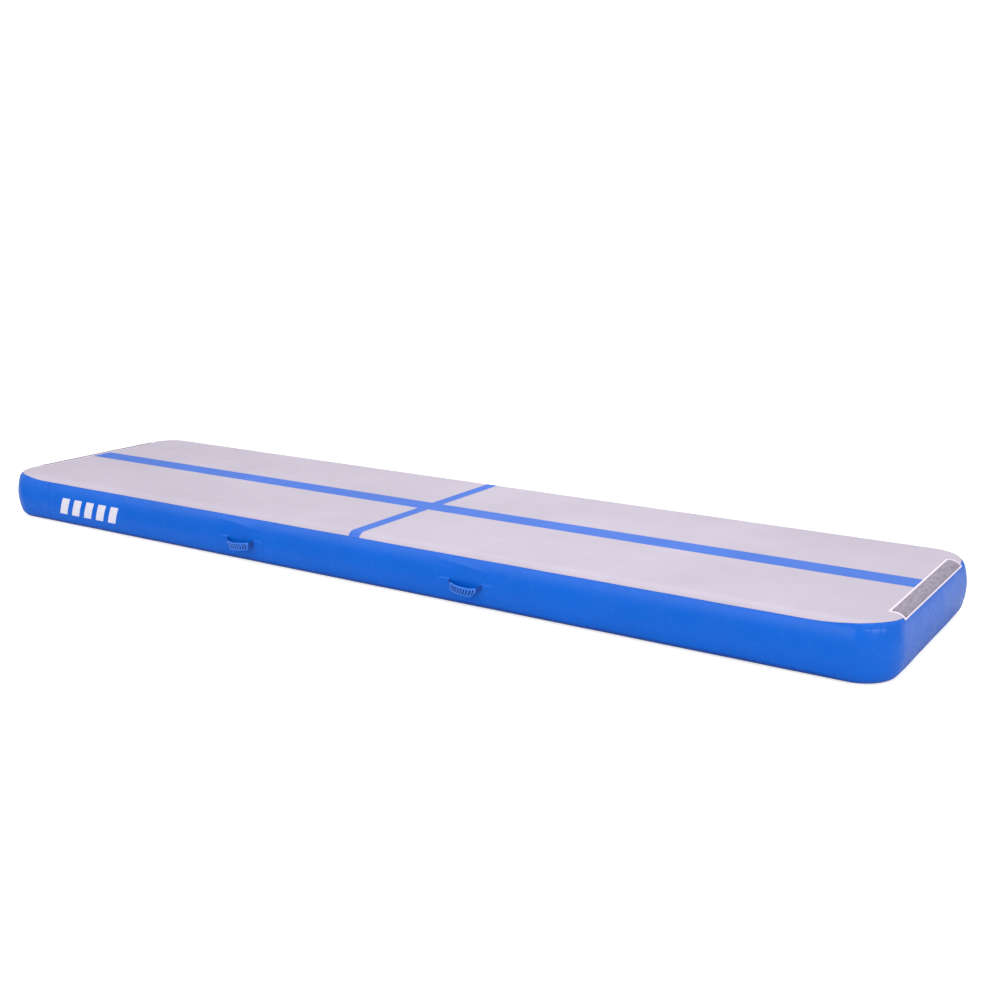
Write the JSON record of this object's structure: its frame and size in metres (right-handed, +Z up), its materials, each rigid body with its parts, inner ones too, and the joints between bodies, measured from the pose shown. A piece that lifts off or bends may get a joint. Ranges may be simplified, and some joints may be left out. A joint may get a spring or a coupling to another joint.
{
  "type": "air track mat",
  "caption": "Long inflated drop-stitch tumbling mat with rounded corners, striped deck, hook-and-loop end strips, side carry handles and an inflation valve.",
  "frame": {"origin": "middle of the underside, on the floor", "axes": "+X along the mat, +Y across it towards the valve side, +Z up"},
  "size_m": [3.9998, 1.06, 0.2016],
  "materials": {
    "deck_pvc": "fine embossed, matte",
    "stripe_pvc": "fine embossed, matte",
    "wall_pvc": "satin",
    "bottom_pvc": "fine embossed, matte",
    "inner_pvc": "matte",
    "yarn": "twisted polyester",
    "patch_pvc": "satin",
    "hook_and_loop": "woven pile",
    "print_white": "screen print",
    "handle_webbing": "woven",
    "handle_grip": "ribbed, satin",
    "valve_plastic": "moulded, satin",
    "valve_rubber": "matte",
    "spring_steel": "drawn wire"
  },
  "bodies": {
    "mat": {"top_deck_skin": "deck_pvc", "bottom_skin": "bottom_pvc", "drop_stitch_yarns": "yarn", "inner_side_band": "inner_pvc", "outer_side_band_front": "wall_pvc", "outer_side_band_back": "wall_pvc", "outer_side_band_left": "wall_pvc", "outer_side_band_right": "wall_pvc", "centre_stripe": "stripe_pvc", "cross_stripe": "stripe_pvc", "left_end_patch": "patch_pvc", "right_end_patch": "patch_pvc", "left_end_loop_strip": "hook_and_loop", "right_end_hook_strip": "hook_and_loop", "side_print": "print_white", "front_left_handle_patch": "wall_pvc", "front_left_handle_anchors": "handle_webbing", "front_right_handle_patch": "wall_pvc", "front_right_handle_anchors": "handle_webbing", "back_left_handle_patch": "wall_pvc", "back_left_handle_anchors": "handle_webbing", "back_right_handle_patch": "wall_pvc", "back_right_handle_anchors": "handle_webbing", "valve_body": "valve_plastic", "valve_gasket": "valve_rubber", "valve_nut": "valve_plastic", "valve_guide": "valve_plastic", "valve_spring": "spring_steel", "cap_tether_ring": "valve_rubber", "cap_tether_fold": "valve_rubber"},
    "front_left_handle": {"front_left_handle_webbing": "handle_webbing", "front_left_handle_grip": "handle_grip"},
    "front_right_handle": {"front_right_handle_webbing": "handle_webbing", "front_right_handle_grip": "handle_grip"},
    "back_left_handle": {"back_left_handle_webbing": "handle_webbing", "back_left_handle_grip": "handle_grip"},
    "back_right_handle": {"back_right_handle_webbing": "handle_webbing", "back_right_handle_grip": "handle_grip"},
    "valve_stem": {"valve_poppet": "valve_plastic", "poppet_seal": "valve_rubber"},
    "valve_button": {"push_button": "valve_plastic"},
    "cap_tether": {"cap_tether_loop": "valve_rubber"},
    "cap": {"valve_cap": "valve_plastic", "cap_seal": "valve_rubber"}
  },
  "joints": [
    {"name": "front_left_handle_swing", "type": "hinge", "parent": "mat", "child": "front_left_handle", "pos_m": [-0.559, -0.5045, 0.095], "axis": [-1, 0, 0], "range_deg": [0, 80]},
    {"name": "front_right_handle_swing", "type": "hinge", "parent": "mat", "child": "front_right_handle", "pos_m": [0.507, -0.5045, 0.095], "axis": [-1, 0, 0], "range_deg": [0, 80]},
    {"name": "back_left_handle_swing", "type": "hinge", "parent": "mat", "child": "back_left_handle", "pos_m": [-0.559, 0.5045, 0.095], "axis": [1, 0, 0], "range_deg": [0, 80]},
    {"name": "back_right_handle_swing", "type": "hinge", "parent": "mat", "child": "back_right_handle", "pos_m": [0.507, 0.5045, 0.095], "axis": [1, 0, 0], "range_deg": [0, 80]},
    {"name": "valve_push", "type": "slide", "parent": "mat", "child": "valve_stem", "axis": [0, -1, 0], "range_m": [0, 0.006], "stiffness_N_per_m": 600, "springref_m": -0.004, "deforming": ["valve_spring"]},
    {"name": "valve_button_twist", "type": "hinge", "parent": "valve_stem", "child": "valve_button", "pos_m": [-1.6, 0.5, 0.1], "axis": [0, 1, 0], "range_deg": [0, 90]},
    {"name": "valve_cap_flip", "type": "hinge", "parent": "mat", "child": "cap_tether", "pos_m": [-1.627, 0.50715, 0.1], "axis": [0, 0, 1], "range_deg": [0, 140], "deforming": ["cap_tether_fold"]},
    {"name": "valve_cap_twist", "type": "hinge", "parent": "cap_tether", "child": "cap", "pos_m": [-1.6, 0.5, 0.1], "axis": [0, 1, 0], "range_deg": [0, 90]}
  ]
}
